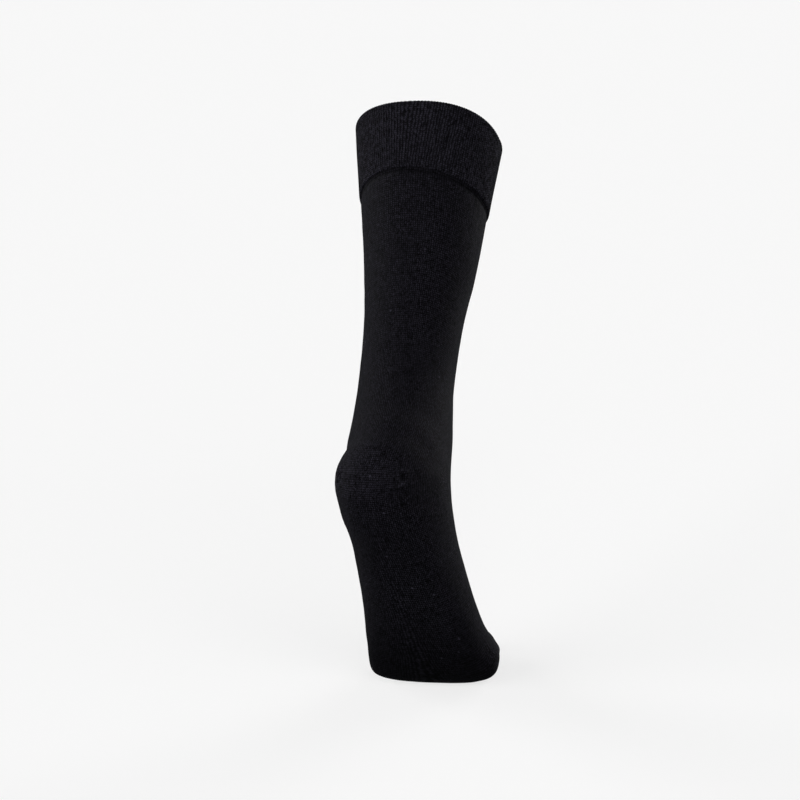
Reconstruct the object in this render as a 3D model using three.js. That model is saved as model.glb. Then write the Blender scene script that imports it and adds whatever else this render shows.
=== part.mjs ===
// One knitted dress sock of calf length, in the hollow shape it has on a left foot that pushes off the
// floor: the heel is lifted, the toes lie flat, and the leg leans forward over them.
// Millimetres, +Z up. The toes point along -Y, the big toe side is -X, and the origin is the centre of
// the leg opening. The sock is a thin wall of cloth in five zones: cuff, leg, heel pocket, foot and toe.

import * as THREE from "three";
import { mergeVertices } from "three/addons/utils/BufferGeometryUtils.js";

// Cloth
const PLAIN_WALL = 1.2; // one layer of fine jersey, in the leg and the foot
const POCKET_WALL = 1.5; // heel and toe are knitted with a second yarn
const CUFF_WALL = 2.4; // the cuff is a double layer, turned at its top edge
const CUFF_PROUD = 1; // how far the cuff stands out from the leg
const CUFF_ROUNDING = 0.9; // how far the cuff's edges draw in
const CUFF_EDGE = 0.02; // share of the cuff's length that an edge takes
const SEAM_GAP = 0.3; // from the end of one zone to the start of the next
const RIB_COUNT = 156;
const RIB_DEPTH = 0.4;

// The sock from the leg opening to the toes, as rings of cloth. A ring runs through its front point, two
// side points and its back point, each given as forward of the ball of the foot and height above the
// floor. The heel pocket hinges on the sides of the ring above it, so its rings have only a back.
const SIDE_VIEW = [
  { ring: "opening", front: [208, 316], side: [169, 347], back: [125, 384] },
  { ring: "cuff end", front: [173, 275], side: [136, 305], back: [94, 341] },
  { ring: "calf", front: [140, 240], side: [106, 268], back: [70, 298] },
  { ring: "shin", front: [106, 207], side: [76, 231], back: [45, 257] },
  { ring: "ankle", front: [76, 174], side: [47, 196], back: [18, 222] },
  { ring: "above heel", front: [54, 146], side: [14, 172], back: [-11, 202] },
  { ring: "heel top", front: [40, 122], side: [-18, 153], back: [-42, 191] },
  { ring: "heel back", back: [-57, 184] },
  { ring: "heel point", back: [-69, 172] },
  { ring: "under heel", back: [-74, 157] },
  { ring: "heel base", back: [-71, 141] },
  { ring: "arch", front: [33, 96], side: [-10, 108], back: [-53, 103] },
  { ring: "instep", front: [31, 69], side: [-1, 67], back: [-31, 60] },
  { ring: "forefoot", front: [34, 47], side: [4, 35], back: [-14, 25] },
  { ring: "ball", front: [41, 33], side: [13, 17], back: [2, 3] },
  { ring: "toe root", front: [50, 26], side: [30, 11], back: [20, -1] },
  { ring: "toes", front: [58, 22], side: [46, 10], back: [38, -1] },
];
const TIP_LENGTH = 28; // the rounded end past the last ring

// Across the sock: where a ring's middle lies, and its half widths towards the big toe and away from it.
// Roll lowers the outer side and yaw turns it back, in degrees. The back half is an ellipse where square
// is 2, and squarer above that.
const ACROSS = [
  { ring: "opening", sideways: 63, inner: 52, outer: 53, roll: 5, yaw: 0, square: 2.1 },
  { ring: "cuff end", sideways: 56, inner: 46, outer: 46, roll: 6, yaw: 0, square: 2 },
  { ring: "calf", sideways: 49, inner: 41, outer: 40, roll: 8, yaw: 0, square: 2 },
  { ring: "shin", sideways: 43, inner: 35, outer: 35, roll: 9, yaw: 0, square: 2 },
  { ring: "ankle", sideways: 36, inner: 32, outer: 35, roll: 9, yaw: 0, square: 2 },
  { ring: "above heel", sideways: 28, inner: 33, outer: 36, roll: 7, yaw: 0, square: 2 },
  { ring: "heel top", sideways: 22, inner: 34, outer: 34, roll: 4, yaw: 0, square: 2 },
  { ring: "arch", sideways: 16, inner: 32, outer: 32, roll: 2, yaw: 4, square: 2.3 },
  { ring: "instep", sideways: 10, inner: 34, outer: 36, roll: 0, yaw: 8, square: 2.5 },
  { ring: "forefoot", sideways: 5, inner: 37, outer: 41, roll: 0, yaw: 12, square: 2.8 },
  { ring: "ball", sideways: 2, inner: 40, outer: 45, roll: 0, yaw: 14, square: 3.8 },
  { ring: "toe root", sideways: 2, inner: 36, outer: 43, roll: 0, yaw: 14, square: 3 },
  { ring: "toes", sideways: 3, inner: 33, outer: 39, roll: 0, yaw: 12, square: 2.6 },
];
const POCKET_ACROSS = { square: 2 };

// Fineness of the surface
const AROUND = 52; // steps round a plain ring
const CUFF_STEPS = 4; // steps along each zone
const CUFF_LINING_STEPS = 2;
const LEG_STEPS = 15;
const POCKET_STEPS = 10;
const FOOT_STEPS = 13;
const TOE_STEPS = 3;
const TIP_STEPS = 7;
const POCKET_CORNER = 0.035; // how far before a corner the pocket ends, in radians
const NUDGE = 0.002; // a step small enough to measure a slope
const SAME_POINT = 0.0001; // points nearer than this are one

// Places are counted in rings, from 0 at the opening.
const RINGS = SIDE_VIEW.map((row) => {
  const across = ACROSS.find(({ ring }) => ring === row.ring) ?? POCKET_ACROSS;
  return { ...row, ...across };
});
const placeOf = (name) => RINGS.findIndex(({ ring }) => ring === name);
const CUFF_END = placeOf("cuff end");
const HEEL_TOP = placeOf("heel top");
const HEEL_BASE = placeOf("heel base");
const TOE_START = placeOf("toe root");
const LAST_RING = RINGS.length - 1;
const SOCK_TIP = LAST_RING + 1;
const TURN = 2 * Math.PI;
const QUARTER = TURN / 4;

// A point of the side view, in the sock's own frame.
const [OPENING_FORWARD, OPENING_HEIGHT] = RINGS[0].side;
const OPENING_SIDEWAYS = RINGS[0].sideways;
const HEEL_SIDEWAYS = RINGS[HEEL_TOP].sideways;
const FLOOR = -OPENING_HEIGHT;
const sideView = ([forward, height], sideways) =>
  new THREE.Vector3(sideways - OPENING_SIDEWAYS, OPENING_FORWARD - forward, height - OPENING_HEIGHT);

// A side point: out from the ring's middle along a line that rolls down, and turns back, towards the
// outer side.
function sidePoint(ring, halfWidth) {
  const roll = THREE.MathUtils.degToRad(ring.roll);
  const yaw = THREE.MathUtils.degToRad(ring.yaw);
  const forward = ring.side[0] - halfWidth * Math.sin(yaw);
  const height = ring.side[1] - halfWidth * Math.sin(roll);
  return sideView([forward, height], ring.sideways + halfWidth * Math.cos(roll) * Math.cos(yaw));
}

// The lines along the sock. Only the back line goes round the heel: the front and the sides run straight
// from the leg into the foot.
const smoothLine = (points) => new THREE.CatmullRomCurve3(points, false, "centripetal");
const wholeRings = RINGS.filter((ring) => ring.front);
const FRONT_LINE = smoothLine(wholeRings.map((ring) => sideView(ring.front, ring.sideways)));
const MIDDLE_LINE = smoothLine(wholeRings.map((ring) => sideView(ring.side, ring.sideways)));
const INNER_LINE = smoothLine(wholeRings.map((ring) => sidePoint(ring, -ring.inner)));
const OUTER_LINE = smoothLine(wholeRings.map((ring) => sidePoint(ring, ring.outer)));
const BACK_LINE = smoothLine(RINGS.map((ring) => sideView(ring.back, ring.sideways ?? HEEL_SIDEWAYS)));

function pointOn(line, place) {
  return line.getPoint(THREE.MathUtils.clamp(place / (line.points.length - 1), 0, 1));
}

// The half ellipses of one ring, as steps from its middle.
function ringAt(place) {
  const withoutPocket = Math.min(place, HEEL_TOP) + Math.max(0, place - HEEL_BASE);
  const middle = pointOn(MIDDLE_LINE, withoutPocket);
  const before = THREE.MathUtils.clamp(Math.floor(place), 0, LAST_RING - 1);
  return {
    middle,
    inner: pointOn(INNER_LINE, withoutPocket).sub(middle),
    outer: pointOn(OUTER_LINE, withoutPocket).sub(middle),
    front: pointOn(FRONT_LINE, withoutPocket).sub(middle),
    back: pointOn(BACK_LINE, place).sub(middle),
    square: THREE.MathUtils.lerp(RINGS[before].square, RINGS[before + 1].square, place - before),
  };
}

// A point of the cloth's outside. The turn is 0 at the front and a quarter at the inner side.
function clothPoint(place, turn) {
  const ring = ringAt(Math.min(place, LAST_RING));
  const past = THREE.MathUtils.clamp(place - LAST_RING, 0, 1);
  const shrink = Math.sqrt(1 - past * past);
  const depth = Math.cos(turn);
  const width = Math.sin(turn);
  const power = depth < 0 ? 2 / ring.square : 1;
  const point = ring.middle;
  point.addScaledVector(depth < 0 ? ring.back : ring.front, Math.abs(depth) ** power * shrink);
  point.addScaledVector(width > 0 ? ring.inner : ring.outer, Math.abs(width) ** power * shrink);
  point.y -= past * TIP_LENGTH;
  return point;
}

// How the cloth moves per ring along the sock, and per radian round it.
const slope = (after, before) => after.sub(before).divideScalar(2 * NUDGE);
const slopeAlong = (place, turn) => slope(clothPoint(place + NUDGE, turn), clothPoint(place - NUDGE, turn));
const slopeRound = (place, turn) => slope(clothPoint(place, turn + NUDGE), clothPoint(place, turn - NUDGE));

// A point that lies outwards from the cloth's outside, and no lower than it may above the floor.
function wallPoint(place, turn, outwards, aboveFloor) {
  const normal =
    place === SOCK_TIP
      ? new THREE.Vector3(0, -1, 0)
      : slopeRound(place, turn).cross(slopeAlong(place, turn)).normalize();
  const point = clothPoint(place, turn).addScaledVector(normal, outwards);
  point.z = Math.max(point.z, FLOOR + aboveFloor);
  return point;
}

// The place just past a seam.
function pastSeam(place, turn) {
  return place + SEAM_GAP / slopeAlong(place + 2 * NUDGE, turn).length();
}

// Shares of a zone's length, in even steps.
const evenSteps = (count) => Array.from({ length: count + 1 }, (_, i) => i / count);

// The section of a plain wall, once round: down its outside and back up its inside.
function plainSection(shares, wall) {
  const outside = shares.map((share) => ({ share, outwards: 0, aboveFloor: 0 }));
  const inside = shares.map((share) => ({ share, outwards: -wall, aboveFloor: wall }));
  return [...outside, ...inside.reverse()];
}

// A closed body from a section that is carried round the sock, whole or from one turn to another.
function sweep(section, placeAt, turns, closed) {
  const points = turns.flatMap((turn, step) =>
    section.map((corner) => {
      const rib = corner.ribbed ? (step % 2 ? -RIB_DEPTH : 0) : 0;
      return wallPoint(placeAt(corner.share, turn), turn, corner.outwards + rib, corner.aboveFloor);
    }),
  );
  const size = section.length;
  const triangles = [];
  for (let i = 0; i < (closed ? turns.length : turns.length - 1); i++) {
    const next = (i + 1) % turns.length;
    for (let j = 0; j < size; j++) {
      const below = (j + 1) % size;
      const corners = [i * size + j, next * size + j, next * size + below, i * size + below];
      triangles.push(corners[0], corners[1], corners[2], corners[0], corners[2], corners[3]);
    }
  }
  if (!closed) {
    const last = (turns.length - 1) * size;
    for (let j = 0; j < size / 2 - 1; j++) {
      const corners = [j, j + 1, size - 2 - j, size - 1 - j];
      triangles.push(corners[0], corners[1], corners[2], corners[0], corners[2], corners[3]);
      triangles.push(
        last + corners[0], last + corners[2], last + corners[1],
        last + corners[0], last + corners[3], last + corners[2],
      );
    }
  }
  const geometry = new THREE.BufferGeometry();
  const numbers = points.flatMap((point) => point.toArray());
  geometry.setAttribute("position", new THREE.Float32BufferAttribute(numbers, 3));
  geometry.setIndex(triangles);
  return withoutSlivers(mergeVertices(geometry, SAME_POINT));
}

// Triangles whose corners have merged into one another are dropped.
function withoutSlivers(geometry) {
  const index = Array.from(geometry.index.array);
  const kept = [];
  for (let i = 0; i < index.length; i += 3) {
    const [a, b, c] = index.slice(i, i + 3);
    if (a !== b && b !== c && c !== a) kept.push(a, b, c);
  }
  geometry.setIndex(kept);
  geometry.computeVertexNormals();
  return geometry;
}

const roundTurns = (count) => evenSteps(count).slice(0, -1).map((share) => share * TURN);

// A zone from one ring to another, which starts just past the seam above it.
function zone(from, to) {
  return (share, turn) => {
    const start = from === 0 ? 0 : pastSeam(from, turn);
    return start + (to - start) * share;
  };
}

// Cuff: ribbed outside, plain inside, and drawn in at both edges.
function cuff() {
  const outside = evenSteps(CUFF_STEPS).map((share) => ({ share, outwards: CUFF_PROUD, ribbed: true }));
  const lining = evenSteps(CUFF_LINING_STEPS).map((share) => ({ share, outwards: CUFF_PROUD - CUFF_WALL }));
  outside[0].share = CUFF_EDGE;
  outside[CUFF_STEPS].share = 1 - CUFF_EDGE;
  const section = [
    { share: 0, outwards: CUFF_PROUD - CUFF_ROUNDING },
    ...outside,
    { share: 1, outwards: CUFF_PROUD - CUFF_ROUNDING },
    ...lining.reverse(),
  ].map((corner) => ({ ...corner, aboveFloor: 0 }));
  return sweep(section, zone(0, CUFF_END), roundTurns(RIB_COUNT * 2), true);
}

function plainZone(from, to, steps, wall) {
  return sweep(plainSection(evenSteps(steps), wall), zone(from, to), roundTurns(AROUND), true);
}

// Heel pocket: only the back half of its rings, from corner to corner.
function heelPocket() {
  const turns = roundTurns(AROUND).filter((turn) => turn > QUARTER && turn < 3 * QUARTER);
  turns.unshift(QUARTER + POCKET_CORNER);
  turns.push(3 * QUARTER - POCKET_CORNER);
  const section = plainSection(evenSteps(POCKET_STEPS), POCKET_WALL);
  return sweep(section, zone(HEEL_TOP, HEEL_BASE), turns, false);
}

// Toe cap: rings up to the last one, then its rounded end.
function toeCap() {
  const rings = LAST_RING - TOE_START;
  const upToLast = evenSteps(TOE_STEPS).map((share) => (share * rings) / (rings + 1));
  const tip = evenSteps(TIP_STEPS).slice(1);
  const roundEnd = tip.map((share) => (rings + Math.sin(share * QUARTER)) / (rings + 1));
  const section = plainSection([...upToLast, ...roundEnd], POCKET_WALL);
  return sweep(section, zone(TOE_START, SOCK_TIP), roundTurns(AROUND), true);
}

const group = new THREE.Group();

function addPiece(name, geometry, cloth) {
  const mesh = new THREE.Mesh(geometry, new THREE.MeshStandardMaterial({ ...cloth, metalness: 0 }));
  mesh.name = name;
  group.add(mesh);
}

const BLACK_RIB = { color: 0x17171b, roughness: 0.95 };
const BLACK_KNIT = { color: 0x131317, roughness: 0.92 };
addPiece("cuff", cuff(), BLACK_RIB);
addPiece("leg", plainZone(CUFF_END, HEEL_TOP, LEG_STEPS, PLAIN_WALL), BLACK_KNIT);
addPiece("heel", heelPocket(), BLACK_KNIT);
addPiece("foot", plainZone(HEEL_BASE, TOE_START, FOOT_STEPS, PLAIN_WALL), BLACK_KNIT);
addPiece("toe", toeCap(), BLACK_KNIT);

export default group;
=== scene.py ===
"""One knitted dress sock of calf length, filled out as on a left foot that pushes off the floor.

Metres, +Z up. The toes point along -Y, the big toe side is -X, and the origin is the centre of the leg
opening. Five knitted zones dress the solids: cuff, leg, heel pocket, foot and toe cap.
"""

import functools
import math

import bpy
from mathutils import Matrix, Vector, noise


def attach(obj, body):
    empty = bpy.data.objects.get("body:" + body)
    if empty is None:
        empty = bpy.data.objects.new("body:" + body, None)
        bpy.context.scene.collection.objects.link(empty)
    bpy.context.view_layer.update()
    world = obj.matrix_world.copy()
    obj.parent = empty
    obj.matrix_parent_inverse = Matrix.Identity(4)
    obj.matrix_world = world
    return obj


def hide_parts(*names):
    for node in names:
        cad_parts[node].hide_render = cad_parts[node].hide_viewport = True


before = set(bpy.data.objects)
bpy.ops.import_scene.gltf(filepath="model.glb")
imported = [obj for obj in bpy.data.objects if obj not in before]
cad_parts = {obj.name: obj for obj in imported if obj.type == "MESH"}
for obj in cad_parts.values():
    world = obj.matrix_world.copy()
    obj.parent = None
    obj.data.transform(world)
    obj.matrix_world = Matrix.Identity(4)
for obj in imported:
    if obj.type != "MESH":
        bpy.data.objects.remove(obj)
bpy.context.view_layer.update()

MM = 0.001
TURN = 2 * math.pi
QUARTER = TURN / 4

# Camera
AZIMUTH = math.radians(200)  # from behind, and a little to the big toe side
PITCH = math.radians(14.5)
DISTANCE = 1600 * MM
AIM = Vector((-5, 60, -170)) * MM
LENS = 100.8  # millimetres, on a frame 36 mm wide
SHIFT = -0.01125  # of the picture's width, the same across and up


def add_camera():
    back = Vector((math.sin(AZIMUTH) * math.cos(PITCH), -math.cos(AZIMUTH) * math.cos(PITCH), math.sin(PITCH)))
    bpy.ops.object.camera_add(location=AIM + back * DISTANCE)
    camera = bpy.context.object
    camera.name = "camera"
    camera.rotation_mode = "QUATERNION"
    camera.rotation_quaternion = (-back).to_track_quat("-Z", "Y")
    camera.data.sensor_width = 36
    camera.data.lens = LENS
    camera.data.shift_x = SHIFT
    camera.data.shift_y = SHIFT
    bpy.context.scene.camera = camera


bpy.ops.object.select_all(action="DESELECT")
add_camera()

# Cloth, in millimetres
PLAIN_WALL = 1.2
POCKET_WALL = 1.5
CUFF_WALL = 2.4
CUFF_PROUD = 1
RIB_COUNT = 156
RIB_DEPTH = 0.5

# Rings of cloth from the leg opening to the toes: forward of the ball of the foot, and above the floor.
# The heel pocket hinges on the sides of the ring above it, so its rings have only a back.
SIDE_VIEW = {
    "opening": {"front": (208, 316), "side": (169, 347), "back": (125, 382)},
    "cuff end": {"front": (173, 275), "side": (136, 305), "back": (94, 341)},
    "calf": {"front": (140, 240), "side": (106, 268), "back": (70, 298)},
    "shin": {"front": (106, 207), "side": (76, 231), "back": (45, 257)},
    "ankle": {"front": (76, 174), "side": (47, 196), "back": (18, 222)},
    "above heel": {"front": (54, 146), "side": (14, 172), "back": (-11, 202)},
    "heel top": {"front": (40, 122), "side": (-18, 153), "back": (-42, 191)},
    "heel back": {"back": (-57, 184)},
    "heel point": {"back": (-69, 172)},
    "under heel": {"back": (-74, 157)},
    "heel base": {"back": (-71, 141)},
    "arch": {"front": (33, 96), "side": (-10, 108), "back": (-53, 103)},
    "instep": {"front": (31, 69), "side": (-1, 67), "back": (-31, 60)},
    "forefoot": {"front": (34, 47), "side": (4, 35), "back": (-14, 25)},
    "ball": {"front": (41, 33), "side": (13, 17), "back": (2, 3)},
    "toe root": {"front": (50, 26), "side": (30, 11), "back": (20, -1)},
    "toes": {"front": (58, 22), "side": (46, 10), "back": (38, -1)},
}
TIP_LENGTH = 28

# Across the sock: half widths towards the big toe and away from it. Roll lowers the outer side and yaw
# turns it back, in degrees.
ACROSS = {
    "opening": {"sideways": 63, "inner": 52, "outer": 53, "roll": 5, "yaw": 0, "square": 2.4},
    "cuff end": {"sideways": 56, "inner": 46, "outer": 46, "roll": 6, "yaw": 0, "square": 2},
    "calf": {"sideways": 49, "inner": 41, "outer": 40, "roll": 8, "yaw": 0, "square": 2},
    "shin": {"sideways": 43, "inner": 35, "outer": 35, "roll": 9, "yaw": 0, "square": 2},
    "ankle": {"sideways": 36, "inner": 32, "outer": 35, "roll": 9, "yaw": 0, "square": 2},
    "above heel": {"sideways": 28, "inner": 33, "outer": 36, "roll": 7, "yaw": 0, "square": 2},
    "heel top": {"sideways": 22, "inner": 34, "outer": 34, "roll": 4, "yaw": 0, "square": 2},
    "arch": {"sideways": 16, "inner": 32, "outer": 32, "roll": 2, "yaw": 4, "square": 2.3},
    "instep": {"sideways": 10, "inner": 34, "outer": 36, "roll": 0, "yaw": 8, "square": 2.5},
    "forefoot": {"sideways": 5, "inner": 37, "outer": 41, "roll": 0, "yaw": 12, "square": 2.8},
    "ball": {"sideways": 2, "inner": 40, "outer": 45, "roll": 0, "yaw": 14, "square": 3.8},
    "toe root": {"sideways": 2, "inner": 36, "outer": 43, "roll": 0, "yaw": 14, "square": 3},
    "toes": {"sideways": 3, "inner": 33, "outer": 39, "roll": 0, "yaw": 12, "square": 2.6},
}
POCKET_SQUARE = 2

# Places are counted in rings, from 0 at the opening.
RINGS = list(SIDE_VIEW)
CUFF_END = RINGS.index("cuff end")
HEEL_TOP = RINGS.index("heel top")
HEEL_BASE = RINGS.index("heel base")
TOE_START = RINGS.index("toe root")
LAST_RING = len(RINGS) - 1
SOCK_TIP = LAST_RING + 1
NUDGE = 0.002  # of a ring, or of a turn in radians, for finding directions

OPENING_FORWARD, OPENING_HEIGHT = SIDE_VIEW["opening"]["side"]
OPENING_SIDEWAYS = ACROSS["opening"]["sideways"]
HEEL_SIDEWAYS = ACROSS["heel top"]["sideways"]
FLOOR = -OPENING_HEIGHT * MM


def side_view(point, sideways):
    forward, height = point
    return Vector((sideways - OPENING_SIDEWAYS, OPENING_FORWARD - forward, height - OPENING_HEIGHT)) * MM


def side_point(name, half_width):
    across = ACROSS[name]
    roll, yaw = math.radians(across["roll"]), math.radians(across["yaw"])
    forward, height = SIDE_VIEW[name]["side"]
    lowered = (forward - half_width * math.sin(yaw), height - half_width * math.sin(roll))
    return side_view(lowered, across["sideways"] + half_width * math.cos(roll) * math.cos(yaw))


class SmoothLine:
    """A line that passes smoothly through its points, with centripetal spacing."""

    def __init__(self, points):
        self.points = points

    def at(self, place):
        points = self.points
        last = len(points) - 1
        place = min(max(place, 0), last)
        step = min(int(place), last - 1)
        share = place - step
        here, after = points[step], points[step + 1]
        before = points[step - 1] if step > 0 else 2 * here - after
        beyond = points[step + 2] if step + 2 <= last else 2 * after - here
        gap_before, gap, gap_beyond = (
            max((b - a).length_squared ** 0.25, 1e-6)
            for a, b in ((before, here), (here, after), (after, beyond))
        )
        leaving = (here - before) / gap_before - (after - before) / (gap_before + gap) + (after - here) / gap
        arriving = (after - here) / gap - (beyond - here) / (gap + gap_beyond) + (beyond - after) / gap_beyond
        leaving, arriving = leaving * gap, arriving * gap
        square_term = 3 * (after - here) - 2 * leaving - arriving
        cube_term = 2 * (here - after) + leaving + arriving
        return here + share * leaving + share**2 * square_term + share**3 * cube_term


FRONT_LINE = SmoothLine([side_view(SIDE_VIEW[name]["front"], ACROSS[name]["sideways"]) for name in ACROSS])
MIDDLE_LINE = SmoothLine([side_view(SIDE_VIEW[name]["side"], ACROSS[name]["sideways"]) for name in ACROSS])
INNER_LINE = SmoothLine([side_point(name, -ACROSS[name]["inner"]) for name in ACROSS])
OUTER_LINE = SmoothLine([side_point(name, ACROSS[name]["outer"]) for name in ACROSS])
BACK_LINE = SmoothLine([
    side_view(SIDE_VIEW[name]["back"], ACROSS[name]["sideways"] if name in ACROSS else HEEL_SIDEWAYS)
    for name in RINGS
])
SQUARENESS = [ACROSS[name]["square"] if name in ACROSS else POCKET_SQUARE for name in RINGS]


@functools.lru_cache(maxsize=None)
def ring_at(place):
    """The ring's middle, its four arms and the squareness of its back."""
    beside_pocket = min(place, HEEL_TOP) + max(0, place - HEEL_BASE)
    middle = MIDDLE_LINE.at(beside_pocket)
    arms = [line.at(beside_pocket) - middle for line in (FRONT_LINE, INNER_LINE, OUTER_LINE)]
    back = BACK_LINE.at(place) - middle
    before = min(max(int(place), 0), LAST_RING - 1)
    share = place - before
    square = SQUARENESS[before] * (1 - share) + SQUARENESS[before + 1] * share
    return middle, *arms, back, square


def surface(place, turn):
    """A point of the cloth's outside. The turn is 0 at the front and a quarter at the inner side."""
    middle, front, inner, outer, back, square = ring_at(min(place, LAST_RING))
    past = min(max(place - LAST_RING, 0), 1)
    shrink = math.sqrt(1 - past * past)
    depth, width = math.cos(turn), math.sin(turn)
    power = 2 / square if depth < 0 else 1
    point = middle + (back if depth < 0 else front) * (abs(depth) ** power * shrink)
    point += (inner if width > 0 else outer) * (abs(width) ** power * shrink)
    point.y -= past * TIP_LENGTH * MM
    return point


def outward(place, turn):
    """The direction out of the cloth."""
    if place >= SOCK_TIP:
        return Vector((0, -1, 0))
    along = surface(place + NUDGE, turn) - surface(place - NUDGE, turn)
    around = surface(place, turn + NUDGE) - surface(place, turn - NUDGE)
    return around.cross(along).normalized()


def on_cloth(place, turn, outwards):
    """A point that lies outwards from the cloth by some millimetres, and not below the floor."""
    point = surface(place, turn) + outward(place, turn) * outwards * MM
    point.z = max(point.z, FLOOR)
    return point


# How far along the cloth each place is, in millimetres
LENGTH_STEPS = 40  # per ring


@functools.lru_cache(maxsize=None)
def lengths_to(line, last):
    """The length of a line up to each of its small steps."""
    total, lengths = 0.0, [0.0]
    for step in range(last * LENGTH_STEPS):
        total += (line.at((step + 1) / LENGTH_STEPS) - line.at(step / LENGTH_STEPS)).length / MM
        lengths.append(total)
    return lengths


def length_at(line, last, place):
    lengths = lengths_to(line, last)
    step = min(int(place * LENGTH_STEPS), len(lengths) - 2)
    share = place * LENGTH_STEPS - step
    return lengths[step] * (1 - share) + lengths[step + 1] * share


def even_places(line, last, start, end, rows):
    """Places from start to end, with the same length of cloth from each to the next."""
    lengths = lengths_to(line, last)
    first, final = length_at(line, last, start), length_at(line, last, end)
    places, step = [start], 0
    for row in range(1, rows):
        wanted = first + (final - first) * row / rows
        while lengths[step + 1] < wanted:
            step += 1
        share = (wanted - lengths[step]) / (lengths[step + 1] - lengths[step])
        places.append((step + share) / LENGTH_STEPS)
    return places + [end]


# Soft relief of the worn cloth, in millimetres
def swell(distance, reach):
    """1 on a line and 0 past its reach."""
    share = min(abs(distance) / reach, 1)
    return (1 - share * share) ** 2


def ramp(value):
    """The value, kept from 0 to 1."""
    return min(max(value, 0), 1)


def unevenness(point, size, seed, height):
    return height * noise.noise(point / (size * MM) + Vector((seed, 0, 0)))


CUFF_LENGTH = 53
FAN_REACH = 13  # of the drawn-in lines below the cuff
FAN_COUNT = 47
FAN_HEIGHT = 0.4
FAN_WANDER = 1.6  # in radians
GROOVE_DEPTH = 1.2  # under the cuff's edge
GROOVE_BELOW = 2.4
GROOVE_REACH = 1.8


def in_groove(below_cuff):
    """1 in the middle of the groove under the cuff's edge, and less beside it."""
    return math.exp(-(((below_cuff - GROOVE_BELOW) / GROOVE_REACH) ** 2))


def drawn_in(turn, below_cuff):
    """The groove under the cuff's edge, and lines that fan out where it draws the leg in."""
    wander = FAN_WANDER * noise.noise(Vector((turn * 3, 4.0, below_cuff / 30)))
    strength = 0.5 + 0.5 * noise.noise(Vector((turn * 4, 9.0, 0)))
    fan = FAN_HEIGHT * math.cos(FAN_COUNT * turn + wander) * strength * math.exp(-below_cuff / FAN_REACH)
    return fan - GROOVE_DEPTH * in_groove(below_cuff)


# Creases across the top of the bend above the toes: before the toe zone, bow, half width and height
TOE_CREASES = (
    (17, 3, 5, -0.35),
    (10, 3, 4.5, 0.4),
    (4, 2, 4, -0.5),
    (-2, 1, 4, 0.4),
)


def bend_creases(turn, before_toe):
    front = max(math.cos(turn), 0) ** 0.5
    return front * sum(
        height * swell(before_toe - start + bow * abs(math.sin(turn)), width)
        for start, bow, width, height in TOE_CREASES
    )


# The heel pocket's first row ends in a pucker on each side
POCKET_ROW = 8.0  # in rings
POCKET_ROW_WIDTH = 0.08  # in rings
POCKET_ROW_DEPTH = 0.22
POCKET_PLACE = 8.25  # of the pucker
POCKET_TURN = math.radians(141)  # of the pucker on the inner side
PUCKER_SIZE = 2.8
PUCKER_DEPTH = 1.7
RIPPLE_HEIGHT = 0.2  # round a pucker
RIPPLE_REACH = 14
RIPPLE_TURN = 1.5  # in radians for each millimetre away
TUCKS = (  # beside a pucker: along the sock, round it, size and height, in millimetres
    (4.6, -0.5, 2.4, 1.3),
    (6.5, 1.2, 2.0, 0.8),
    (2.6, 4.0, 2.0, 0.8),
    (-1.0, 4.6, 2.0, 0.5),
    (-3.8, 2.0, 2.0, 0.7),
    (-4.4, -2.0, 2.0, 0.7),
)


def pucker_spot(turn):
    """The nearer pucker's point, and a millimetre along the sock and forwards from it."""
    inside = turn < 2 * QUARTER
    end_turn = POCKET_TURN if inside else TURN - POCKET_TURN
    spot = surface(POCKET_PLACE, end_turn)
    along = (surface(POCKET_PLACE + NUDGE, end_turn) - spot).normalized()
    return spot, along * MM, outward(POCKET_PLACE, end_turn).cross(along) * (-MM if inside else MM)


def near_heel(place):
    return HEEL_TOP - 1 < place < HEEL_BASE + 1


def away_from(point, spot):
    return (point - spot).length / MM


def tucked(point, turn):
    """The height of the tucks beside the nearer pucker."""
    spot, along, forwards = pucker_spot(turn)
    return sum(
        height * swell(away_from(point, spot + along * down + forwards * ahead), size)
        for down, ahead, size, height in TUCKS
    )


def pucker(point, place, turn):
    """The small gathered spot where the pocket's rows turn back, and the groove of its first row."""
    away = away_from(point, pucker_spot(turn)[0])
    relief = tucked(point, turn) - PUCKER_DEPTH * swell(away, PUCKER_SIZE)
    relief += RIPPLE_HEIGHT * math.cos(away * RIPPLE_TURN) * swell(away, RIPPLE_REACH)
    if HEEL_TOP < place < HEEL_BASE and POCKET_TURN < turn < TURN - POCKET_TURN:
        relief -= POCKET_ROW_DEPTH * swell(place - POCKET_ROW, POCKET_ROW_WIDTH)
    return relief


ROWS_START, ROWS_END = 7.5, 9.7  # places between which rows show on the heel
ROWS_ELSEWHERE = 0.15
ROWS_ON_HEEL = 0.4  # more than elsewhere


def heel_rows(place, turn):
    """How much the rows across show over the columns: most on the heel."""
    level = ramp((place - ROWS_START) * 2) * ramp((ROWS_END - place) * 1.5)
    width = ramp((turn - POCKET_TURN) * 6) * ramp((TURN - POCKET_TURN - turn) * 6)
    return ROWS_ELSEWHERE + ROWS_ON_HEEL * level * width


HEEL_LIGHT = (7.6, 195, 45, 0.4)  # where it is stretched thin: place, turn in degrees, reach and tone
PAINTED_SOLE_SHADE = (75, 0.3)  # painted shade: how far above the floor the sole is painted darker, and how light it is left there
# Painted shade in the groove under the cuff's edge
GROOVE_PAINTED_SHADE = 0.5
# Painted shade in the middle of each pucker
PUCKER_PAINTED_SHADE = 0.8
PUCKER_SHADE_SHARE = 0.9  # of its size, for the painted shade in the pucker
TUCK_PAINTED_HIGHLIGHT = 1.5  # painted highlight on the tucks, for each millimetre of their height


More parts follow.
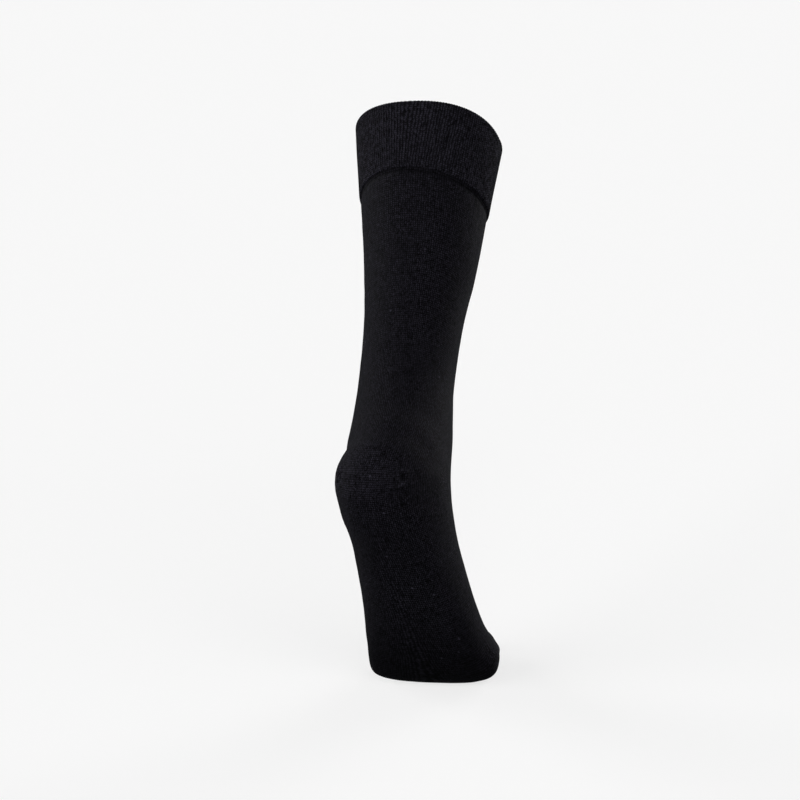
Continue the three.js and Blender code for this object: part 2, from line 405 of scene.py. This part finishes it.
def tone_and_painted_light_at(point, place, turn, along):
    """How light the yarn is painted: painted shade near the floor under the foot, in the groove under the cuff
    and in the puckers, painted highlight on the tucks, and lighter where the heel is pulled open.
    """
    reach, darkest = PAINTED_SOLE_SHADE
    # Painted shade on the sole near the floor and in the groove under the cuff's edge
    sole_painted_shade = swell(point.z - FLOOR, reach * MM) * max(-math.cos(turn), 0) ** 0.5
    tone_and_painted_light = 1 - (1 - darkest) * sole_painted_shade - GROOVE_PAINTED_SHADE * in_groove(along - CUFF_ALONG)
    if near_heel(place):
        heel_place, heel_turn, heel_reach, lighter = HEEL_LIGHT
        tone_and_painted_light += lighter * swell(away_from(point, surface(heel_place, math.radians(heel_turn))), heel_reach)
        # Painted shade in the pucker and painted highlight on the tucks beside it
        away = away_from(point, pucker_spot(turn)[0])
        tone_and_painted_light -= PUCKER_PAINTED_SHADE * swell(away, PUCKER_SIZE * PUCKER_SHADE_SHARE)
        tone_and_painted_light += TUCK_PAINTED_HIGHLIGHT * tucked(point, turn)
    return tone_and_painted_light


# Where the foot fills the sock: place, turn in degrees, reach and height in millimetres
FULLNESS = (
    (8.9, 225, 40, 2.4),  # outer side of the heel
    (13.95, 92, 18, 2.0),  # big toe joint
    (16.4, 68, 16, -2.4),  # top of the big toe
    (11.9, 235, 60, 0.8),  # outer edge of the sole
)
UNEVEN_BODY = ((38, 3, 0.35), (11, 5, 0.16))  # size, seed and height
UNEVEN_CUFF = (30, 17, 0.3)


def body_relief(point, place, turn, along):
    relief = sum(unevenness(point, *uneven) for uneven in UNEVEN_BODY)
    for spot_place, spot_turn, reach, height in FULLNESS:
        relief += height * swell(away_from(point, surface(spot_place, math.radians(spot_turn))), reach)
    relief += drawn_in(turn, along - CUFF_ALONG)
    relief += bend_creases(turn, TOE_ALONG - along)
    if near_heel(place):
        relief += pucker(point, place, turn)
    return relief


# Sheets of knit
ROUND_UV = 0.25  # of the map's width, once round the sock
SEAM_GAP = 0.002  # between corners that are one
JOIN_GAP = 0.01


def knit_grid(name, columns, rows):
    """A flat grid with a corner at every column and row, each side 1 long."""
    bpy.ops.object.select_all(action="DESELECT")
    bpy.ops.mesh.primitive_grid_add(x_subdivisions=columns, y_subdivisions=rows, size=1)
    piece = bpy.context.object
    piece.name = piece.data.name = name
    return piece


def shape_grid(piece, columns, rows, corner_at, map_at):
    """Carries the grid's corners onto the sock, and its map too: turns across and metres along."""
    cells = [
        (round((corner.co.y + 0.5) * rows), round((corner.co.x + 0.5) * columns))
        for corner in piece.data.vertices
    ]
    for corner, cell in zip(piece.data.vertices, cells):
        corner.co = corner_at(*cell)
    uv_map = piece.data.uv_layers[0]
    uv_map.name = "knit"
    for loop in piece.data.loops:
        turn, along = map_at(*cells[loop.vertex_index])
        uv_map.data[loop.index].uv = (turn / TURN * ROUND_UV, along * MM)
    return cells


def keep_number(piece, name, values):
    piece.data.attributes.new(name, "FLOAT", "POINT").data.foreach_set("value", values)


def select_only(*pieces):
    bpy.ops.object.select_all(action="DESELECT")
    for piece in pieces:
        piece.select_set(True)
    bpy.context.view_layer.objects.active = pieces[0]


def edit(piece, *steps):
    """Runs edit mode operators on all of a piece."""
    select_only(piece)
    bpy.ops.object.mode_set(mode="EDIT")
    bpy.ops.mesh.select_all(action="SELECT")
    for step in steps:
        step()
    bpy.ops.object.mode_set(mode="OBJECT")


def pick_none(piece, kind):
    """Leaves a piece with nothing selected, ready for corners or faces to be picked in object mode."""
    edit(
        piece,
        lambda: bpy.ops.mesh.select_mode(type=kind),
        lambda: bpy.ops.mesh.select_all(action="DESELECT"),
    )


def close_seams():
    bpy.ops.mesh.remove_doubles(threshold=SEAM_GAP * MM)


def face_outwards():
    bpy.ops.mesh.normals_make_consistent(inside=False)


def thicken(piece, wall):
    """Gives the cloth its wall on the inside."""
    select_only(piece)
    modifier = piece.modifiers.new("wall", "SOLIDIFY")
    modifier.thickness = wall * MM
    modifier.offset = -1
    modifier.use_even_offset = True
    bpy.ops.object.modifier_apply(modifier=modifier.name)


SHARP_EDGE = math.radians(50)


def finish_piece(piece, node, finish):
    select_only(piece)
    bpy.ops.object.shade_smooth_by_angle(angle=SHARP_EDGE)
    piece.data.materials.clear()
    piece.data.materials.append(finish)
    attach(piece, "root")
    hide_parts(node)


# Cuff: one turned layer, ribbed on its outside and half as deep inside
RIB_COLUMNS = 8  # per rib
CUFF_OUTSIDE_ROWS = 22
CUFF_INSIDE_ROWS = 12
EDGE_ROWS = 6
CUFF_COLUMNS = RIB_COUNT * RIB_COLUMNS
CUFF_TONE = 1.6  # its doubled cloth looks lighter than the leg
RIB_ROUNDING = 0.7
INNER_RIBS = 0.5  # of the depth outside


def rib(turn):
    """1 on a rib and 0 in the groove between two."""
    return (0.5 + 0.5 * math.cos(RIB_COUNT * turn)) ** RIB_ROUNDING


def cuff_section():
    """The turned layer's section: up the outside, over the rim, down the inside and round the lower edge.

    Each corner has its length from the rim, how far outwards it is, and how deep the ribs are.
    """
    radius = CUFF_WALL / 2
    middle = CUFF_PROUD - radius
    straight = CUFF_LENGTH - 2 * radius
    outside = [radius + straight * (1 - i / CUFF_OUTSIDE_ROWS) for i in range(CUFF_OUTSIDE_ROWS + 1)]
    inside = [radius + straight * i / CUFF_INSIDE_ROWS for i in range(CUFF_INSIDE_ROWS + 1)]
    bends = [math.pi * i / EDGE_ROWS for i in range(1, EDGE_ROWS)]
    return (
        [(length, middle + radius, 1) for length in outside]
        + [(radius - radius * math.sin(a), middle + radius * math.cos(a), 1) for a in bends]
        + [(length, middle - radius, -INNER_RIBS) for length in inside]
        + [
            (CUFF_LENGTH - radius + radius * math.sin(a), middle - radius * math.cos(a), INNER_RIBS)
            for a in bends
        ]
    )


def make_cuff(finish):
    section = cuff_section()
    rows = len(section)
    piece = knit_grid("knit_cuff", CUFF_COLUMNS, rows)
    places_per_mm = CUFF_END / CUFF_LENGTH

    def corner_at(row, column):
        length, outwards, ribbing = section[row % rows]
        turn = TURN * (column % CUFF_COLUMNS) / CUFF_COLUMNS
        place = length * places_per_mm
        slack = unevenness(surface(place, turn), *UNEVEN_CUFF)
        return on_cloth(place, turn, outwards + (rib(turn) - 1) * RIB_DEPTH * ribbing + slack)

    def map_at(row, column):
        return TURN * column / CUFF_COLUMNS, section[row % rows][0]

    shape_grid(piece, CUFF_COLUMNS, rows, corner_at, map_at)
    keep_number(piece, "tone_and_painted_light", [CUFF_TONE] * len(piece.data.vertices))
    edit(piece, close_seams, face_outwards)
    finish_piece(piece, "cuff", finish)


# Body: leg, heel, foot and toe are shaped apart, joined, softened where they meet, and parted again
AROUND = 208
ROW_LENGTH = 1.5
POCKET_ROWS = 48
TIP_ROWS = 26
BESIDE_LAST = len(ACROSS) - 1


def beside(place):
    """The place counted without the pocket's rings."""
    return min(place, HEEL_TOP) + max(0, place - HEEL_BASE)


def along_at(place):
    """Millimetres down the middle of the sock from the leg opening."""
    past = max(place - LAST_RING, 0) * TIP_LENGTH
    return length_at(MIDDLE_LINE, BESIDE_LAST, min(beside(place), BESIDE_LAST)) + past


CUFF_ALONG = along_at(CUFF_END)
TOE_ALONG = along_at(TOE_START)
TUCKED_IN = 0.012  # of a ring, where the leg's first row lies in the cuff
BESIDE_POCKET = 0.2  # in radians, how far forwards of the pocket the cloth is softened
FAR = 1000  # from the pocket's edges, past all softening


def tube_places(start, end):
    rows = round((along_at(end) - along_at(start)) / ROW_LENGTH)
    even = even_places(MIDDLE_LINE, BESIDE_LAST, beside(start), beside(end), rows)
    return [place + start - beside(start) for place in even]


def toe_places():
    tip = [LAST_RING + math.sin(QUARTER * i / TIP_ROWS) for i in range(1, TIP_ROWS + 1)]
    return tube_places(TOE_START, LAST_RING) + tip


ZONES = {
    "leg": {"wall": PLAIN_WALL, "flat": (0.19, 0.24), "rests_on": ["knit_cuff"]},
    "heel": {"wall": POCKET_WALL, "flat": (0.09, 0.055), "rests_on": ["knit_leg"]},
    "foot": {"wall": PLAIN_WALL, "flat": (0.19, 0.15), "rests_on": ["knit_leg"]},
    "toe": {"wall": POCKET_WALL, "flat": (0.175, 0.05), "rests_on": ["knit_foot"]},
}


def make_zone(zone, places, columns, turn_at, alongs):
    """One zone's outside, which remembers each corner's place, turn, length and nearness to the pocket."""
    piece = knit_grid("knit_" + zone, columns, len(places) - 1)

    def corner_at(row, column):
        return on_cloth(places[row], turn_at(column), 0)

    def map_at(row, column):
        return turn_at(column), alongs[row]

    def to_pocket_edge(place, turn):
        if zone == "toe" or not QUARTER - BESIDE_POCKET < turn < 3 * QUARTER + BESIDE_POCKET:
            return FAR
        here = surface(place, turn)
        return min(away_from(here, surface(edge, turn)) for edge in (HEEL_TOP, HEEL_BASE))

    cells = shape_grid(piece, columns, len(places) - 1, corner_at, map_at)
    keep_number(piece, "place", [places[row] for row, _ in cells])
    keep_number(piece, "turn", [turn_at(column) % TURN for _, column in cells])
    keep_number(piece, "along", [alongs[row] for row, _ in cells])
    keep_number(piece, "edge", [to_pocket_edge(places[row], turn_at(column)) for row, column in cells])
    piece.data.materials.append(bpy.data.materials.new(zone))
    edit(piece, close_seams, face_outwards)
    return piece


def make_round_zone(zone, places):
    return make_zone(
        zone, places, AROUND, lambda column: TURN * column / AROUND, [along_at(place) for place in places])


def make_heel():
    places = even_places(BACK_LINE, LAST_RING, HEEL_TOP, HEEL_BASE, POCKET_ROWS)
    before = length_at(BACK_LINE, LAST_RING, HEEL_TOP)
    alongs = [along_at(HEEL_TOP) + length_at(BACK_LINE, LAST_RING, place) - before for place in places]
    columns = AROUND // 2

    def turn_at(column):
        return QUARTER + 2 * QUARTER * column / columns

    return make_zone("heel", places, columns, turn_at, alongs)


def join(pieces):
    select_only(*pieces)
    bpy.ops.object.join()
    body = bpy.context.object
    edit(body, lambda: bpy.ops.mesh.remove_doubles(threshold=JOIN_GAP * MM), face_outwards)
    return body


# How far from the pocket's edges the cloth is smoothed, in millimetres, and how often
SOFTENING = ((22, 25), (16, 50), (11, 60), (7, 50), (4, 20))
REFINED = 12  # how far from a pucker the cloth is cut finer


def soften(body):
    """Rounds off the lines where the heel pocket meets the leg and the foot."""
    for reach, repeats in SOFTENING:
        pick_none(body, "VERT")
        near = [edge.value < reach for edge in body.data.attributes["edge"].data]
        body.data.vertices.foreach_set("select", near)
        bpy.ops.object.mode_set(mode="EDIT")
        bpy.ops.mesh.vertices_smooth(factor=0.5, repeat=repeats)
        bpy.ops.object.mode_set(mode="OBJECT")


def refine_puckers(body):
    """Cuts the cloth finer round both puckers."""
    spots = [pucker_spot(turn)[0] for turn in (QUARTER, 3 * QUARTER)]
    pick_none(body, "FACE")
    for face in body.data.polygons:
        face.select = any(away_from(face.center, spot) < REFINED for spot in spots)
    bpy.ops.object.mode_set(mode="EDIT")
    bpy.ops.mesh.subdivide(number_cuts=2, smoothness=0)
    bpy.ops.object.mode_set(mode="OBJECT")


def add_relief(body):
    """Moves the cloth along its normals, and keeps how much its rows show and how light it is, with its
    painted shade and highlight.
    """
    names = ("place", "turn", "along")
    numbers = list(zip(*([item.value for item in body.data.attributes[name].data] for name in names)))
    corners = body.data.vertices
    keep_number(body, "rows", [heel_rows(place, turn) for place, turn, _ in numbers])
    keep_number(body, "tone_and_painted_light", [tone_and_painted_light_at(corner.co, *number) for corner, number in zip(corners, numbers)])
    moved = [
        corner.co + corner.normal * body_relief(corner.co, *number) * MM
        for corner, number in zip(corners, numbers)
    ]
    for corner, point in zip(corners, moved):
        corner.co = (*point.xy, max(point.z, FLOOR))


def part_zones(body):
    """The zones by name, parted by the materials that they were joined with."""
    select_only(body)
    bpy.ops.mesh.separate(type="MATERIAL")
    zones = {}
    for piece in list(bpy.context.selected_objects):
        zone = piece.data.materials[piece.data.polygons[0].material_index].name
        piece.name = piece.data.name = "knit_" + zone
        zones[zone] = piece
    return zones


def make_body(finish):
    body = join([
        make_round_zone("leg", tube_places(CUFF_END - TUCKED_IN, HEEL_TOP)),
        make_heel(),
        make_round_zone("foot", tube_places(HEEL_BASE, TOE_START)),
        make_round_zone("toe", toe_places()),
    ])
    soften(body)
    refine_puckers(body)
    add_relief(body)
    zones = part_zones(body)
    for zone, facts in ZONES.items():
        piece = zones[zone]
        for name in ("place", "turn", "along", "edge"):
            piece.data.attributes.remove(piece.data.attributes[name])
        thicken(piece, facts["wall"])
        finish_piece(piece, zone, finish)


# Materials
class Wire:
    """A node's output that takes part in sums."""

    def __init__(self, finish, socket):
        self.finish = finish
        self.socket = socket

    def sum_with(self, operation, first, second=0.0):
        return self.finish.node("Math", {"operation": operation}, {0: first, 1: second})

    def __add__(self, other):
        return self.sum_with("ADD", self, other)

    def __sub__(self, other):
        return self.sum_with("SUBTRACT", self, other)

    def __rsub__(self, other):
        return self.sum_with("SUBTRACT", other, self)

    def __mul__(self, other):
        return self.sum_with("MULTIPLY", self, other)

    def __pow__(self, other):
        return self.sum_with("POWER", self, other)

    def __abs__(self):
        return self.sum_with("ABSOLUTE", self)

    def fraction(self):
        return self.sum_with("FRACT", self)

    def floor(self):
        return self.sum_with("FLOOR", self)

    def cosine(self):
        return self.sum_with("COSINE", self)


class Finish:
    """A material whose nodes are added by expressions."""

    def __init__(self, name):
        self.material = bpy.data.materials.new(name)
        self.material.use_nodes = True
        self.tree = self.material.node_tree
        self.tree.nodes.clear()

    def node(self, kind, settings, values, output=0):
        """Adds a node with its settings, and links or sets its inputs."""
        made = self.tree.nodes.new("ShaderNode" + kind)
        for name, value in settings.items():
            setattr(made, name, value)
        for name, value in values.items():
            if isinstance(value, Wire):
                self.tree.links.new(value.socket, made.inputs[name])
            else:
                made.inputs[name].default_value = value
        return Wire(self, made.outputs[output]) if made.outputs else None


WAVER = ((150, 0.5), (420, 1.2))  # of the columns: noise scale and how many columns
ROW_WAVER = (110, 0.8)
SLANT = 0.8  # of a row, from the middle of a column to its side
YARN = (1.1, 1.5)  # how uneven the stitches and their halves are
YARN_MEAN = 1
# Painted shade and light of the stitches: the colour follows each stitch's height, darker in the gaps
STITCH_PAINTED_LIGHT = 2.3
LIGHT_LEFT_IN_PAINTED_GAPS = 0.15
PATCHES = (40, 0.3)  # noise scale and strength
LINT_RARITY = 900
LINT_LIGHT = 4
BRIGHTEST = 5  # how many times the cloth's own black the brightest stitch is
RELIEF = 0.2 * MM
FLUFF = (1500, 0.5)
ROUGH = 0.85
SHEEN_ROUGH = 0.35


def knit_finish(name, wales, course):
    """Black knit: columns of slanted stitches with painted shade between them, uneven yarn and a little fuzz.
    A course is in metres.
    """
    finish = Finish(name)
    uv = finish.node("UVMap", {"uv_map": "knit"}, {})
    across = finish.node("SeparateXYZ", {}, {"Vector": uv}) * (wales / ROUND_UV)
    along = finish.node("SeparateXYZ", {}, {"Vector": uv}, output=1) * (1 / course)
    place = finish.node("TexCoord", {}, {}, output=3)
    rows = finish.node("Attribute", {"attribute_name": "rows"}, {}, output=2)
    # Painted shade and highlight kept on the corners, with the cuff's and the heel's own lightness
    tone_and_painted_light = finish.node("Attribute", {"attribute_name": "tone_and_painted_light"}, {}, output=2)

    def cloud(scale, strength, detail=2):
        noise_here = finish.node("TexNoise", {}, {"Vector": place, "Scale": scale, "Detail": detail})
        return (noise_here - 0.5) * strength

    def scatter(row, column):
        cell = finish.node("CombineXYZ", {}, {"X": column.floor(), "Y": row.floor()})
        return finish.node("TexWhiteNoise", {"noise_dimensions": "2D"}, {"Vector": cell})

    for waver in WAVER:
        across = across + cloud(*waver)
    slant = along + abs(across.fraction() - 0.5) * SLANT + cloud(*ROW_WAVER)
    hump = (across * TURN).cosine() * -0.5 + 0.5
    step = (slant * TURN).cosine() * 0.5 + 0.5
    stitch = ((hump - 0.5) * (1 - rows) + 0.55) * (step + 0.2)
    bump = finish.node(
        "Bump", {}, {"Strength": 1.0, "Distance": RELIEF, "Height": stitch + cloud(*FLUFF, detail=3)})
    whole, half = YARN
    yarn = scatter(slant, across) * whole + scatter(slant * 2 + 9, across * 2) * half
    yarn = yarn + (YARN_MEAN - (whole + half) / 2)
    lint = scatter(along + 40, across) ** LINT_RARITY * LINT_LIGHT
    # The stitch's height paints shade in the gaps and light on the humps, and the kept attribute adds the
    # painted shade and highlight of the sole, groove, puckers and tucks
    light = (stitch * yarn * STITCH_PAINTED_LIGHT + LIGHT_LEFT_IN_PAINTED_GAPS) * (cloud(*PATCHES) + 1) * tone_and_painted_light + lint
    share = light * (1 / BRIGHTEST)
    colour = finish.node("Mix", {"data_type": "RGBA"}, {0: share, 6: BLACK, 7: BRIGHT}, output=2)
    principled = finish.node(
        "BsdfPrincipled", {},
        {
            "Base Color": colour,
            "Roughness": ROUGH,
            "Specular IOR Level": GLOSS,
            "Sheen Weight": FUZZ,
            "Sheen Roughness": SHEEN_ROUGH,
            "Sheen Tint": FUZZ_COLOUR,
            "Normal": bump,
        },
    )
    finish.node("OutputMaterial", {}, {"Surface": principled})
    return finish.material


COURSE = 1.5 * MM
CUFF_COURSE = 1.6 * MM
WALES = 168
BLACK = (0, 0, 0, 1)
BRIGHT = (0.026, 0.0245, 0.034, 1)
GLOSS = 0.03
FUZZ = 0.018
FUZZ_COLOUR = (0.85, 0.88, 1, 1)
body_finish = knit_finish("black_jersey", WALES, COURSE)
cuff_finish = knit_finish("black_rib", RIB_COUNT, CUFF_COURSE)


make_cuff(cuff_finish)
make_body(body_finish)


# Floor and light
PAPER = 0.9216  # the bare floor's brightness in the picture
SHADED_SHARE = 0.25  # of it that a shadow can take away
FLOOR_LIGHT = 0.73  # what the lights give a white floor
FLOOR_SIZE = 60


def pale_floor():
    bpy.ops.object.select_all(action="DESELECT")
    bpy.ops.mesh.primitive_plane_add(size=FLOOR_SIZE, location=(0, 0, FLOOR))
    floor = bpy.context.object
    floor.name = "floor"
    finish = Finish("pale_floor")
    lit = PAPER * SHADED_SHARE / FLOOR_LIGHT
    principled = finish.node(
        "BsdfPrincipled", {},
        {
            "Base Color": (lit, lit, lit, 1),
            "Roughness": 1,
            "Specular IOR Level": 0,
            "Emission Color": (1, 1, 1, 1),
            "Emission Strength": PAPER * (1 - SHADED_SHARE),
        },
    )
    finish.node("OutputMaterial", {}, {"Surface": principled})
    floor.data.materials.append(finish.material)
    floor.visible_diffuse = floor.visible_glossy = False


SKY = 0.06
LIGHTS = {  # azimuth, height and spread in degrees, and strength
    "left": (140, 14, 50, 2.3),
    "left edge": (80, 8, 40, 2.6),
    "front": (220, 25, 60, 1.6),
    "right": (262, 8, 50, 0.7),
    "right edge": (340, 10, 40, 2.2),
}


def soft_light():
    """Low wide suns round the sock under a nearly dark sky."""
    world = bpy.data.worlds.new("studio")
    bpy.context.scene.world = world
    world.use_nodes = True
    world.node_tree.nodes["Background"].inputs["Color"].default_value = (1, 1, 1, 1)
    world.node_tree.nodes["Background"].inputs["Strength"].default_value = SKY
    for name, (azimuth, height, spread, strength) in LIGHTS.items():
        a, e = math.radians(azimuth), math.radians(height)
        towards = Vector((math.sin(a) * math.cos(e), -math.cos(a) * math.cos(e), math.sin(e)))
        bpy.ops.object.light_add(type="SUN", location=towards * 2)
        light = bpy.context.object
        light.name = name
        light.data.energy = strength
        light.data.angle = math.radians(spread)
        light.rotation_mode = "QUATERNION"
        light.rotation_quaternion = towards.to_track_quat("Z", "Y")


pale_floor()
soft_light()
bpy.context.scene.view_settings.view_transform = "Standard"
